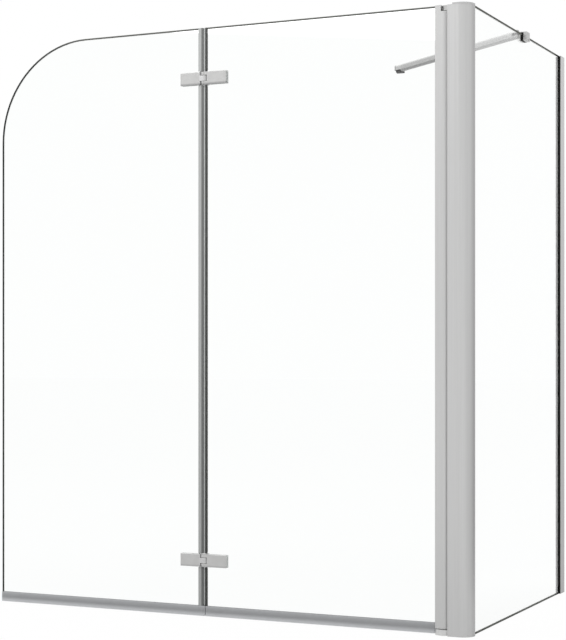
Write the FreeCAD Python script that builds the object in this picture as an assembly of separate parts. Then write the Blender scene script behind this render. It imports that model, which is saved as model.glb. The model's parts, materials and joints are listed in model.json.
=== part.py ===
import FreeCAD, Part
import math
import os

# An L-shaped folding bath screen, in millimetres.
# The wall is the plane y = 0, the tub rim is z = 0 and the side glass stands in the plane x = 0.
# The front glasses run from the corner post towards -x, and the wall lies towards +y.

Vector = FreeCAD.Vector
up = Vector(0, 0, 1)

# Whole screen
front_reach = 1189.5  # side glass plane to the free edge of the leaf
side_reach = 724.0  # wall to the plane of the front glasses
glass_top = 1346.5  # tub rim to the top of every glass
glass_thickness = 6.0
front_glass_rise = 13.0  # tub rim to the lower edge of the front glasses
leaf_corner_radius = 235.0
cut_overrun = 1.0  # every cutting solid runs this far past what it cuts
seat_clearance = 0.3  # gap between pieces that are laid together
running_fit = 0.05  # radial gap between a pin and its bore

# Glass-to-glass hinges
hinge_reach = 637.5  # side glass plane to the hinge axis
hinge_glass_gap = 5.0  # hinge axis to each glass edge
upper_hinge_drop = 115.5  # glass top to the middle of the upper hinge
lower_hinge_rise = 128.0  # tub rim to the middle of the lower hinge
hinge_height = 29.0
hinge_plate_reach = 58.7  # hinge axis to the far end of each plate
hinge_plate_thickness = 4.0
hinge_fold_gap = 0.4  # between the plates of both sides with the leaf folded square
hinge_plate_rounding = 0.8
hinge_nose_radius = 2.5  # rounding of each plate's near end
hinge_pad_thickness = 0.5
hinge_pad_inset = 0.3
hinge_barrel_radius = 8.0
hinge_boss_gap = 0.4  # knuckles to the boss in each notch
hinge_pin_radius = 3.0
hinge_pin_inset = 0.4  # each end of the pin lies this far below the knuckle's end
hinge_knuckle_share = 0.25  # share of the hinge height in each outer knuckle
hinge_washer_thickness = 1.0
hinge_washer_radius = 5.5
hinge_washer_play = 0.05
hinge_notch_setback = 16.0  # hinge axis to the bottom of the notch in each glass
hinge_notch_margin = 1.0  # room in the notch above and below the hinge
hinge_notch_radius = 4.0
hinge_screw_spacing = 20.0
hinge_screw_radius = 2.5
hinge_screw_bite = 3.0  # depth of each screw in the outer plate
hinge_screw_head_radius = 4.6
hinge_screw_head_height = 2.1
hinge_screw_socket_radius = 1.7
hinge_screw_socket_depth = 1.6
hinge_glass_hole_radius = 5.0

# Seals on the front glasses
drip_seal_leg = 1.2  # wall of the drip seal beside the glass
drip_seal_grip = 11.0  # height of the seal beside the glass
drip_seal_web = 5.0  # solid height of the seal under the glass
drip_seal_rim_gap = 1.0  # tub rim to the tips of the lips
drip_seal_splay = 0.6  # how far the lips lean out
drip_seal_hinge_gap = 0.4  # between the leaf seal's round end and the middle seal
drip_seal_pivot_gap = 3.3  # pivot profile to the end of the middle drip seal
edge_seal_tip_gap = 1.9  # hinge axis to the round nose of each edge seal
edge_seal_lip_reach = 1.45  # hinge axis to the end of the leaf seal's lip, which lies past the axis
edge_seal_lip_thickness = 1.2
edge_seal_hinge_gap = 1.5  # hinge to the ends of the edge seals
edge_seal_drip_gap = 0.5  # drip seal to the lower end of the edge seals
leaf_edge_seal_reach = 13.9  # hinge axis to the end of the leaf seal's legs
leaf_edge_seal_leg = 1.0
middle_edge_seal_reach = 7.0
middle_edge_seal_leg = 0.8

# Corner post, with depths measured from the plane of the front glasses
post_left_reach = 43.0  # side glass plane to the face beside the pivot
post_outer_reach = 9.0  # side glass plane to the outer face
post_front_depth = 25.0  # out to the front face
post_back_depth = 12.0  # in to the back face
post_lip_depth = 6.0  # in to the end of the outer lip
post_slot_depth = 10.0  # out to the bottom of the glass slot
post_corner_radius = 27.5
post_wall = 2.0
post_gasket_thickness = 1.0
post_cap_thickness = 4.5
post_cap_skirt = 1.0  # thickness of the low part of the cap
post_cap_setback = 11.0  # pivot face of the post to the raised part of the cap
post_plug_length = 20.0  # length in x of each pivot arm's plug inside the post
post_plug_half_width = 9.0
post_cap_plug_height = 8.0

# Pivot between the post and the middle panel
pivot_reach = 56.5  # side glass plane to the pivot axis
pivot_nose_radius = 11.8
pivot_profile_reach = 18.8  # pivot axis to the profile's end on the glass
pivot_slot_depth = 9.5
pivot_gasket_thickness = 1.0
pivot_notch_setback = 5.6  # pivot axis to the full-height part of the profile
pivot_gap = 1.0  # between the lower arm and the profile
pivot_pin_radius = 2.5
pivot_pin_inset = 2.0  # cover over the buried end of each pin
pivot_pin_bite = 18.0  # length of each pin inside its bush
pivot_bush_radius = 3.8
pivot_bush_length = 20.0
pivot_bush_flange_radius = 5.0
pivot_bush_flange_thickness = 0.8
upper_arm_height = 11.0
upper_arm_gap = 2.2  # between the upper arm and the profile's shelf
upper_arm_notch_gap = 0.4  # between the upper arm's round end and the notch in the profile
upper_arm_plug_depth = 20.0
lower_arm_height = 12.0
lower_arm_seal_gap = 0.6  # between the lower arm's disc and the middle drip seal
lower_arm_post_gap = 2.0  # between the lower arm's disc and the post
lower_arm_neck_height = 8.0
lower_arm_plug_height = 25.0
arm_screw_radius = 2.0
arm_screw_bite = 10.0
arm_screw_head_radius = 3.8
arm_screw_head_height = 1.8
arm_screw_socket_radius = 1.3
arm_screw_socket_depth = 1.2
arm_screw_spacing = 10.0

# Wall channel
channel_width = 13.0
channel_depth = 34.0
channel_wall = 1.5
channel_back = 2.0
channel_cap_thickness = 2.0
channel_gasket_web = 2.0
channel_gasket_lip = 2.0  # thickness of the black lip over the mouth
channel_gasket_overhang = 1.8  # how far the lip stands past the channel on the inner side
channel_glass_gap = 8.0  # wall to the end of the side glass
wall_hole_radius = 2.5
wall_hole_inset = 150.0  # end of the channel to its first hole

# Support bar and its glass clamp
bar_rise = 1.4  # glass top to the middle of the bar
bar_radius = 10.25
bar_tube_wall = 1.5
bar_wall_reach = 432.0  # side glass plane to the wall pin
clamp_wall_gap = 341.0  # wall to the middle of the clamp
clamp_length = 26.0
clamp_pin_offset = 3.0  # middle of the clamp to its swivel pin, towards the wall
clamp_drop = 16.5  # glass top to the foot of the clamp
clamp_roof = 2.0
clamp_outer_jaw = 8.0
clamp_inner_jaw = 3.0
clamp_liner_thickness = 2.5
clamp_liner_crown = 2.5  # height of the liner over the glass
clamp_liner_overhang = 2.0
clamp_grub_radius = 2.2
clamp_grub_rise = 3.0  # foot of the clamp to the grub screw
clamp_grub_socket_radius = 1.6
clamp_grub_socket_depth = 2.5
tongue_height = 6.0
tongue_half_width = 5.5
fork_play = 0.2  # gap above and below each tongue
fork_length = 28.0  # swivel pin to the shoulder of the fork
fork_wall_slot_reach = 22.0  # swivel pin to the bottom of the slot at the wall
fork_end_gap = 0.7  # round ends to the faces beside them
fork_spigot_length = 18.0
fork_spigot_clearance = 0.1
swivel_pin_radius = 2.0
swivel_pin_half_length = 8.8
bracket_thickness = 8.0
bracket_width = 20.0
bracket_height = 19.0
bracket_lug_half_width = 7.0
bracket_lug_drop = 5.0  # middle of the bar to the top of the bracket's lug
bracket_hole_radius = 2.25
bracket_hole_spacing = 12.0
bracket_hole_rise = 4.0  # middle of the bar to the bracket's holes

# Places that follow from the sizes above
front_y = -side_reach
half_glass = glass_thickness / 2
hinge_x = -hinge_reach
pivot_x = -pivot_reach
hinge_heights = {"upper": glass_top - upper_hinge_drop, "lower": lower_hinge_rise}
hinge_inner = half_glass + hinge_pad_thickness
hinge_outer = hinge_inner + hinge_plate_thickness
hinge_plate_start = hinge_outer + hinge_fold_gap
hinge_knuckle_height = hinge_height * hinge_knuckle_share
drip_seal_half_width = half_glass + drip_seal_leg + drip_seal_splay
post_top = glass_top - post_cap_thickness
pivot_floor = lower_arm_height + pivot_gap
pivot_shelf = glass_top - upper_arm_height - upper_arm_gap
upper_arm_radius = pivot_notch_setback - upper_arm_notch_gap
lower_arm_radius = pivot_profile_reach + drip_seal_pivot_gap - lower_arm_seal_gap
bar_z = glass_top + bar_rise
clamp_y = -clamp_wall_gap
fork_pin_gap = bar_radius + fork_end_gap
clamp_pin_x = -(half_glass + clamp_liner_thickness + clamp_inner_jaw + fork_pin_gap)
wall_pin_x = -bar_wall_reach
wall_pin_y = -(bracket_thickness + fork_pin_gap)
leaf_side = -1
middle_side = 1


def block(x_span, y_span, z_span):
    """A box between three pairs of limits."""
    size = [max(span) - min(span) for span in (x_span, y_span, z_span)]
    return Part.makeBox(*size, Vector(min(x_span), min(y_span), min(z_span)))


def rod(radius, start, end):
    axis = end.sub(start)
    return Part.makeCylinder(radius, axis.Length, start, axis)


def cone(start_radius, end_radius, start, end):
    axis = end.sub(start)
    return Part.makeCone(start_radius, end_radius, axis.Length, start, axis)


def prism(points, sweep):
    """A straight extrusion of a closed outline."""
    return Part.Face(Part.makePolygon(points + points[:1])).extrude(sweep)


def mirrored(value):
    return (-value, value)


def about(middle, half):
    return (middle - half, middle + half)


def rounded(solid, radius, chosen):
    """The solid with the edges rounded whose middle point passes the test."""
    edges = [edge for edge in solid.Edges if chosen(edge.CenterOfMass)]
    return solid.makeFillet(radius, edges)


def near(first, second):
    return math.isclose(first, second, abs_tol=running_fit)


def save(name, *shapes):
    solids = [solid for shape in shapes for solid in shape.Solids]
    result = solids[0] if len(solids) == 1 else Part.makeCompound(solids)
    result.exportStep("parts/" + name + ".step")


def hexagon_socket(face, inward, radius, depth):
    """The hexagonal recess in a screw's face, as a cutting solid."""
    turn = FreeCAD.Rotation(up, inward)
    corners = []
    for step in range(6):
        angle = math.pi / 3 * step
        corner = Vector(radius * math.cos(angle), radius * math.sin(angle), -cut_overrun)
        corners.append(face.add(turn.multVec(corner)))
    return prism(corners, inward * (depth + cut_overrun))


def countersunk_screw(tip, face, radius, head_radius, head_height, socket_radius, socket_depth):
    inward = tip.sub(face).normalize()
    neck = face.add(inward * head_height)
    body = rod(radius, tip, neck).fuse(cone(radius, head_radius, neck, face)).removeSplitter()
    return body.cut(hexagon_socket(face, inward, socket_radius, socket_depth))


def countersink(face, inward, radius, head_radius, head_height, depth):
    """The through hole and the conical seat for a countersunk screw, as a cutting solid."""
    inward = Vector(inward).normalize()
    outer = face.sub(inward * cut_overrun)
    neck = face.add(inward * head_height)
    hole_radius = radius + running_fit
    seat_radius = head_radius + running_fit
    hole = rod(hole_radius, outer, face.add(inward * (depth + cut_overrun)))
    seat = cone(hole_radius, seat_radius, neck, face)
    return hole.fuse(seat.fuse(rod(seat_radius, face, outer)))


# Glass panels

def glass_panel(x_left, x_right, corner_radius):
    """A front glass, with one rounded upper corner where a radius is given."""
    back = front_y - half_glass
    top_left = Vector(x_left + corner_radius, back, glass_top)
    side_left = Vector(x_left, back, glass_top - corner_radius)
    foot_left = Vector(x_left, back, front_glass_rise)
    foot_right = Vector(x_right, back, front_glass_rise)
    top_right = Vector(x_right, back, glass_top)
    corners = [side_left, foot_left, foot_right, top_right, top_left]
    edges = [Part.makeLine(start, end) for start, end in zip(corners, corners[1:])]
    if corner_radius:
        reach = corner_radius * math.cos(math.pi / 4)
        crown = Vector(top_left.x - reach, back, side_left.z + reach)
        edges.append(Part.Arc(top_left, crown, side_left).toShape())
    sweep = Vector(0, glass_thickness, 0)
    return Part.Face(Part.Wire(edges)).extrude(sweep)


def hinge_screw_places(side):
    middle = (hinge_notch_setback + hinge_plate_reach) / 2
    return [hinge_x + side * offset for offset in about(middle, hinge_screw_spacing / 2)]


def with_hinge_cuts(glass, side):
    """The glass with its hinge notches and screw holes."""
    y_span = about(front_y, half_glass + cut_overrun)
    for height in hinge_heights.values():
        bottom = hinge_x + side * hinge_notch_setback
        z_span = about(height, hinge_height / 2 + hinge_notch_margin)
        notch = block((hinge_x, bottom), y_span, z_span)
        notch = rounded(notch, hinge_notch_radius, lambda p: near(p.x, bottom) and near(p.y, front_y))
        glass = glass.cut(notch)
        for place in hinge_screw_places(side):
            ends = [Vector(place, y, height) for y in y_span]
            glass = glass.cut(rod(hinge_glass_hole_radius, *ends))
    return glass


def build_glasses():
    leaf = glass_panel(-front_reach, hinge_x - hinge_glass_gap, leaf_corner_radius)
    save("leaf_glass", with_hinge_cuts(leaf, leaf_side))
    profile_end = pivot_x - pivot_profile_reach + pivot_slot_depth
    middle = glass_panel(hinge_x + hinge_glass_gap, profile_end - pivot_gasket_thickness, 0)
    save("middle_glass", with_hinge_cuts(middle, middle_side))
    glass_front = front_y - post_slot_depth + post_gasket_thickness
    save("side_glass", block(mirrored(half_glass), (glass_front, -channel_glass_gap), (0, glass_top)))


# Hinges

def hinge_plate(side, height, near_depth, far_depth):
    """One plate of a hinge, with its outer edges rounded off, most of all at its near end."""
    x_near = hinge_x + side * hinge_plate_start
    x_far = hinge_x + side * hinge_plate_reach
    nose_end = x_near + side * hinge_nose_radius
    y_near = front_y + near_depth
    y_far = front_y + far_depth
    plate = block((x_near, x_far), (y_near, y_far), about(height, hinge_height / 2))

    def nose(point):
        return near(point.x, x_near) and near(point.y, y_far)

    def outer_edge(point):
        past_nose = side * (point.x - nose_end) > running_fit
        return past_nose and not near(point.y, y_near) and (near(point.x, x_far) or near(point.y, y_far))

    plate = rounded(plate, hinge_nose_radius, nose)
    return rounded(plate, hinge_plate_rounding, outer_edge)


def knuckle(side, z_span):
    """One knuckle with the strap that joins it to its plate."""
    ends = [Vector(hinge_x, front_y, z) for z in z_span]
    strap_end = hinge_x + side * (hinge_plate_start + hinge_nose_radius)
    strap = block((hinge_x, strap_end), (front_y - hinge_outer, front_y - hinge_inner), z_span)
    return rod(hinge_barrel_radius, *ends).fuse(strap)


def hinge_body(side, height, knuckle_spans):
    """The outer plate with its knuckles and the boss that fills the notch in the glass."""
    body = hinge_plate(side, height, -hinge_inner, -hinge_outer)
    setbacks = (hinge_barrel_radius + hinge_boss_gap, hinge_notch_setback - hinge_notch_radius)
    boss_x = [hinge_x + side * setback for setback in setbacks]
    boss_y = (front_y - hinge_inner, front_y + hinge_inner - seat_clearance)
    body = body.fuse(block(boss_x, boss_y, about(height, hinge_height / 2)))
    for z_span in knuckle_spans:
        body = body.fuse(knuckle(side, z_span))
    body = body.removeSplitter()
    bore_ends = [Vector(hinge_x, front_y, z) for z in about(height, hinge_height)]
    body = body.cut(rod(hinge_pin_radius + running_fit, *bore_ends))
    for place in hinge_screw_places(side):
        mouth = Vector(place, front_y, height)
        bottom = Vector(place, front_y - hinge_inner - hinge_screw_bite - running_fit, height)
        body = body.cut(rod(hinge_screw_radius + running_fit, mouth, bottom))
    return body


def hinge_clamp_plate(side, height):
    plate = hinge_plate(side, height, hinge_inner, hinge_outer)
    for place in hinge_screw_places(side):
        face = Vector(place, front_y + hinge_outer, height)
        plate = plate.cut(countersink(face, Vector(0, -1, 0), hinge_screw_radius,
                                      hinge_screw_head_radius, hinge_screw_head_height,
                                      hinge_plate_thickness))
    return plate


def hinge_pads(side, height):
    """The two rubber pads that keep the plates off one glass."""
    x_near = hinge_x + side * (hinge_notch_setback + hinge_pad_inset)
    x_far = hinge_x + side * (hinge_plate_reach - hinge_pad_inset)
    z_span = about(height, hinge_height / 2 - hinge_pad_inset)
    pads = []
    for face in (-1, 1):
        y_span = (front_y + face * half_glass, front_y + face * hinge_inner)
        pad = block((x_near, x_far), y_span, z_span)
        for place in hinge_screw_places(side):
            ends = [Vector(place, y, height) for y in about(front_y, hinge_outer)]
            pad = pad.cut(rod(hinge_glass_hole_radius, *ends))
        pads.append(pad)
    return pads


def hinge_screws(side, height):
    screws = []
    for place in hinge_screw_places(side):
        tip = Vector(place, front_y - hinge_inner - hinge_screw_bite, height)
        face = Vector(place, front_y + hinge_outer, height)
        screws.append(countersunk_screw(tip, face, hinge_screw_radius, hinge_screw_head_radius,
                                        hinge_screw_head_height, hinge_screw_socket_radius,
                                        hinge_screw_socket_depth))
    return screws


def build_hinge(name, height):
    top = height + hinge_height / 2
    bottom = height - hinge_height / 2
    split_gap = hinge_washer_thickness + hinge_washer_play * 2
    upper_split = top - hinge_knuckle_height
    lower_split = bottom + hinge_knuckle_height
    leaf_spans = [(lower_split + split_gap, upper_split - split_gap)]
    middle_spans = [(upper_split, top), (bottom, lower_split)]
    prefix = "hinge_" + name + "_"
    save(prefix + "leaf_body", hinge_body(leaf_side, height, leaf_spans))
    save(prefix + "middle_body", hinge_body(middle_side, height, middle_spans))
    for side_name, side in (("leaf", leaf_side), ("middle", middle_side)):
        save(prefix + side_name + "_clamp_plate", hinge_clamp_plate(side, height))
        save(prefix + side_name + "_pads", *hinge_pads(side, height))
        save(prefix + side_name + "_screws", *hinge_screws(side, height))
    pin_ends = [Vector(hinge_x, front_y, z) for z in (bottom + hinge_pin_inset, top - hinge_pin_inset)]
    save(prefix + "pin", rod(hinge_pin_radius, *pin_ends))
    washers = []
    for start in (lower_split + hinge_washer_play, upper_split - hinge_washer_play - hinge_washer_thickness):
        ends = [Vector(hinge_x, front_y, z) for z in (start, start + hinge_washer_thickness)]
        washer = rod(hinge_washer_radius, *ends)
        washers.append(washer.cut(rod(hinge_pin_radius + running_fit, *ends)))
    save(prefix + "washers", *washers)


# Seals

def drip_seal(x_left, x_right):
    """The seal that grips the lower edge of a front glass and ends in two splayed lips."""
    outer = half_glass + drip_seal_leg
    top = front_glass_rise + drip_seal_grip
    root = front_glass_rise - drip_seal_web
    lip_inner = half_glass + drip_seal_splay
    half = [(half_glass, front_glass_rise), (half_glass, top), (outer, top), (outer, root),
            (drip_seal_half_width, drip_seal_rim_gap), (lip_inner, drip_seal_rim_gap), (half_glass, root)]
    section = half + [(-y, z) for y, z in reversed(half)]
    points = [Vector(x_left, front_y + y, z) for y, z in section]
    return prism(points, Vector(x_right - x_left, 0, 0))


def with_round_end(seal):
    """The leaf's drip seal with its end rounded about the hinge axis, on which it turns."""
    z_span = (0, front_glass_rise + drip_seal_grip + cut_overrun)
    y_span = about(front_y, drip_seal_half_width + cut_overrun)
    plan = block((-front_reach - cut_overrun, hinge_x), y_span, z_span)
    plan = plan.fuse(rod(drip_seal_half_width, *[Vector(hinge_x, front_y, z) for z in z_span]))
    return seal.common(plan)


def edge_seal_spans():
    """The three lengths of an edge seal, below, between and above the hinges."""
    clear = hinge_height / 2 + edge_seal_hinge_gap
    foot = front_glass_rise + drip_seal_grip + edge_seal_drip_gap
    lower = about(hinge_heights["lower"], clear)
    upper = about(hinge_heights["upper"], clear)
    return [(foot, lower[0]), (lower[1], upper[0]), (upper[1], glass_top)]


def edge_seal(side, reach, leg):
    """The lengths of the seal on one glass edge, with a half-round nose towards the hinge axis."""
    outer = half_glass + leg
    shoulder = edge_seal_tip_gap + outer
    half = [(shoulder, outer), (reach, outer), (reach, half_glass), (hinge_glass_gap, half_glass)]
    section = half + [(x, -y) for x, y in reversed(half)]
    lengths = []
    for bottom, top in edge_seal_spans():
        corners = [Vector(hinge_x + side * x, front_y + y, bottom) for x, y in section]
        edges = [Part.makeLine(start, end) for start, end in zip(corners, corners[1:])]
        nose = Vector(hinge_x + side * edge_seal_tip_gap, front_y, bottom)
        edges.append(Part.Arc(corners[-1], nose, corners[0]).toShape())
        lengths.append(Part.Face(Part.Wire(edges)).extrude(up * (top - bottom)))
    return lengths


def with_lips(lengths):
    """The lengths of the leaf's edge seal with the thin lip that closes the joint."""
    x_span = (hinge_x - edge_seal_tip_gap - leaf_edge_seal_leg, hinge_x + edge_seal_lip_reach)
    y_span = about(front_y, edge_seal_lip_thickness / 2)
    return [length.fuse(block(x_span, y_span, z_span)).removeSplitter()
            for length, z_span in zip(lengths, edge_seal_spans())]


def build_seals():
    save("leaf_edge_seal", *with_lips(edge_seal(leaf_side, leaf_edge_seal_reach, leaf_edge_seal_leg)))
    save("middle_edge_seal", *edge_seal(middle_side, middle_edge_seal_reach, middle_edge_seal_leg))
    save("leaf_bottom_seal", with_round_end(drip_seal(-front_reach, hinge_x + drip_seal_half_width)))
    middle_start = hinge_x + drip_seal_half_width + drip_seal_hinge_gap
    middle_end = pivot_x - pivot_profile_reach - drip_seal_pivot_gap
    save("middle_bottom_seal", drip_seal(middle_start, middle_end))


# Corner post

def post_outline(bottom, height):
    """The post's outer shape in plan, open at the back where the side glass enters."""
    front = front_y - post_front_depth
    slot = half_glass + post_gasket_thickness
    slot_bottom = front_y - post_slot_depth
    back = front_y + post_back_depth
    lip = front_y + post_lip_depth
    radius = post_corner_radius
    reach = radius * math.cos(math.pi / 4)
    arc_start = Vector(post_outer_reach - radius, front, bottom)
    arc_middle = arc_start.add(Vector(reach, radius - reach, 0))
    arc_end = arc_start.add(Vector(radius, radius, 0))
    plan = [(post_outer_reach, lip), (slot, lip), (slot, slot_bottom), (-slot, slot_bottom), (-slot, back),
            (-post_left_reach, back), (-post_left_reach, front)]
    corners = [arc_end] + [Vector(x, y, bottom) for x, y in plan] + [arc_start]
    edges = [Part.makeLine(start, end) for start, end in zip(corners, corners[1:])]
    edges.append(Part.Arc(arc_start, arc_middle, arc_end).toShape())
    return Part.Face(Part.Wire(edges)).extrude(up * height)


def post_chamber(bottom, height):
    """The hollow of the post in front of and beside the glass slot."""
    left = -post_left_reach + post_wall
    front = front_y - post_front_depth + post_wall
    back = front_y + post_back_depth - post_wall
    slot_side = -(half_glass + post_gasket_thickness + post_wall)
    slot_bottom = front_y - post_slot_depth - post_wall
    radius = post_corner_radius - post_wall
    centre = Vector(post_outer_reach - post_corner_radius, front + radius, bottom)
    last_angle = math.asin((slot_bottom - centre.y) / radius)
    angles = [-math.pi / 2, (last_angle - math.pi / 2) / 2, last_angle]
    arc = [centre.add(Vector(math.cos(angle), math.sin(angle), 0) * radius) for angle in angles]
    plan = [(slot_side, slot_bottom), (slot_side, back), (left, back), (left, front)]
    corners = [arc[-1]] + [Vector(x, y, bottom) for x, y in plan] + [arc[0]]
    edges = [Part.makeLine(start, end) for start, end in zip(corners, corners[1:])]
    edges.append(Part.Arc(*arc).toShape())
    return Part.Face(Part.Wire(edges)).extrude(up * height)


def arm_screw_places():
    middle = -post_left_reach + post_wall + post_plug_length / 2
    return about(middle, arm_screw_spacing / 2)


def arm_screw_heights():
    upper = post_top - upper_arm_plug_depth / 2
    lower = lower_arm_plug_height / 2
    return (upper, lower)


def arm_screw_seats(depth):
    """The four countersunk holes through the back wall of the post, as cutting solids."""
    seats = []
    for x in arm_screw_places():
        for z in arm_screw_heights():
            face = Vector(x, front_y + post_back_depth, z)
            seats.append(countersink(face, Vector(0, -1, 0), arm_screw_radius, arm_screw_head_radius,
                                     arm_screw_head_height, depth))
    return seats


def with_seats(solid, depth):
    for seat in arm_screw_seats(depth):
        solid = solid.cut(seat)
    return solid


def build_post():
    post = post_outline(0, post_top)
    post = post.cut(post_chamber(-cut_overrun, post_top + cut_overrun * 2))
    notch_x = (-post_left_reach - cut_overrun, -post_left_reach + post_wall + cut_overrun)
    notch_y = about(front_y, post_plug_half_width + seat_clearance)
    post = post.cut(block(notch_x, notch_y, (-cut_overrun, lower_arm_neck_height + seat_clearance)))
    save("corner_post", with_seats(post, post_wall))
    slot = half_glass + post_gasket_thickness
    slot_bottom = front_y - post_slot_depth
    gasket = block(mirrored(slot), (slot_bottom, front_y + post_lip_depth), (0, glass_top))
    glass = block(mirrored(half_glass),
                  (slot_bottom + post_gasket_thickness, front_y + post_lip_depth + cut_overrun),
                  (-cut_overrun, glass_top + cut_overrun))
    save("post_gasket", gasket.cut(glass))


def build_post_cap():
    raised_x = -post_left_reach + post_cap_setback
    cap = post_outline(post_top, post_cap_thickness)
    low = block((-post_left_reach - cut_overrun, raised_x),
                about(front_y, post_front_depth + cut_overrun),
                (post_top + post_cap_skirt, glass_top + cut_overrun))
    neck = block((-post_left_reach - cut_overrun, raised_x + seat_clearance),
                 about(front_y, upper_arm_radius + seat_clearance),
                 (post_top - cut_overrun, glass_top + cut_overrun))
    plug_left = -post_left_reach + post_wall + post_plug_length + seat_clearance
    plug_right = -(half_glass + post_gasket_thickness + post_wall + seat_clearance)
    plug_front = front_y - post_slot_depth
    plug_back = front_y + post_back_depth - post_wall - seat_clearance
    plug = block((plug_left, plug_right), (plug_front, plug_back),
                 (post_top - post_cap_plug_height, post_top))
    save("post_top_cap", cap.cut(low).cut(neck).fuse(plug).removeSplitter())


# Pivot between post and middle panel

def arm_plug(bottom, height):
    """The part of a pivot arm that sits inside the post, against its back wall."""
    left = -post_left_reach + post_wall + seat_clearance
    right = -post_left_reach + post_wall + post_plug_length
    back = front_y + post_back_depth - post_wall
    return block((left, right), (front_y - post_plug_half_width, back), (bottom, bottom + height))


def pin_socket(start, end):
    return rod(pivot_pin_radius + running_fit, start, end)


def pivot_point(height):
    return Vector(pivot_x, front_y, height)


def build_upper_arm():
    underside = glass_top - upper_arm_height
    face = -post_left_reach
    neck_end = face + post_cap_setback
    y_span = about(front_y, upper_arm_radius)
    lug = block((pivot_x, face), y_span, (underside, glass_top))
    lug = lug.fuse(rod(upper_arm_radius, pivot_point(underside), pivot_point(glass_top)))
    lug = lug.fuse(block((face, neck_end), y_span, (post_top, glass_top)))
    arm = lug.fuse(arm_plug(post_top - upper_arm_plug_depth, upper_arm_plug_depth)).removeSplitter()
    arm = arm.cut(pin_socket(pivot_point(underside - cut_overrun), pivot_point(glass_top - pivot_pin_inset)))
    save("top_pivot_arm", with_seats(arm, arm_screw_bite + post_wall))


def build_lower_arm():
    disc_end = -post_left_reach - lower_arm_post_gap
    disc = rod(lower_arm_radius, pivot_point(0), pivot_point(lower_arm_height))
    foot = disc.common(block((pivot_x - lower_arm_radius, disc_end), about(front_y, lower_arm_radius),
                             (0, lower_arm_height)))
    neck_end = -post_left_reach + post_wall + seat_clearance
    neck_y = about(front_y, post_plug_half_width)
    foot = foot.fuse(block((disc_end, neck_end), neck_y, (0, lower_arm_neck_height)))
    arm = foot.fuse(arm_plug(0, lower_arm_plug_height)).removeSplitter()
    arm = arm.cut(pin_socket(pivot_point(pivot_pin_inset), pivot_point(lower_arm_height + cut_overrun)))
    save("bottom_pivot_arm", with_seats(arm, arm_screw_bite + post_wall))


def build_arm_screws():
    screws = []
    for x in arm_screw_places():
        for z in arm_screw_heights():
            face = Vector(x, front_y + post_back_depth, z)
            tip = Vector(x, face.y - post_wall - arm_screw_bite, z)
            screws.append(countersunk_screw(tip, face, arm_screw_radius, arm_screw_head_radius,
                                            arm_screw_head_height, arm_screw_socket_radius,
                                            arm_screw_socket_depth))
    save("pivot_arm_screws", *screws)


def pivot_bush(seat, inward):
    """A flanged bush whose flange lies on the profile's end and whose body points inward."""
    flange_end = seat - inward * pivot_bush_flange_thickness
    body_end = seat + inward * pivot_bush_length
    bush = rod(pivot_bush_radius, pivot_point(seat), pivot_point(body_end))
    bush = bush.fuse(rod(pivot_bush_flange_radius, pivot_point(flange_end), pivot_point(seat)))
    bore_start = pivot_point(flange_end - inward * cut_overrun)
    bore_end = pivot_point(body_end + inward * cut_overrun)
    return bush.cut(pin_socket(bore_start, bore_end))


def build_pivot():
    end_x = pivot_x - pivot_profile_reach
    z_span = (pivot_floor, glass_top)
    profile = block((end_x, pivot_x), about(front_y, pivot_nose_radius), z_span)
    profile = profile.fuse(rod(pivot_nose_radius, *[pivot_point(z) for z in z_span])).removeSplitter()
    slot_half = half_glass + pivot_gasket_thickness
    slot_end = end_x + pivot_slot_depth
    tall = (pivot_floor - cut_overrun, glass_top + cut_overrun)
    profile = profile.cut(block((end_x - cut_overrun, slot_end), about(front_y, slot_half), tall))
    notch_x = (pivot_x - pivot_notch_setback, pivot_x + pivot_nose_radius + cut_overrun)
    notch_y = about(front_y, pivot_nose_radius + cut_overrun)
    profile = profile.cut(block(notch_x, notch_y, (pivot_shelf, glass_top + cut_overrun)))
    bore = rod(pivot_bush_radius + running_fit, *[pivot_point(z) for z in tall])
    save("pivot_profile", profile.cut(bore))
    gasket = block((end_x, slot_end), about(front_y, slot_half), z_span)
    glass = block((end_x - cut_overrun, slot_end - pivot_gasket_thickness), about(front_y, half_glass), tall)
    save("pivot_profile_gasket", gasket.cut(glass))
    save("top_pivot_bush", pivot_bush(pivot_shelf, -1))
    save("bottom_pivot_bush", pivot_bush(pivot_floor, 1))
    upper_tip = pivot_point(pivot_shelf - pivot_pin_bite)
    save("top_pivot_pin", rod(pivot_pin_radius, upper_tip, pivot_point(glass_top - pivot_pin_inset)))
    lower_tip = pivot_point(pivot_floor + pivot_pin_bite)
    save("bottom_pivot_pin", rod(pivot_pin_radius, pivot_point(pivot_pin_inset), lower_tip))


# Wall channel

def wall_hole_heights():
    top = glass_top - wall_hole_inset
    return [wall_hole_inset, (wall_hole_inset + top) / 2, top]


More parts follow.
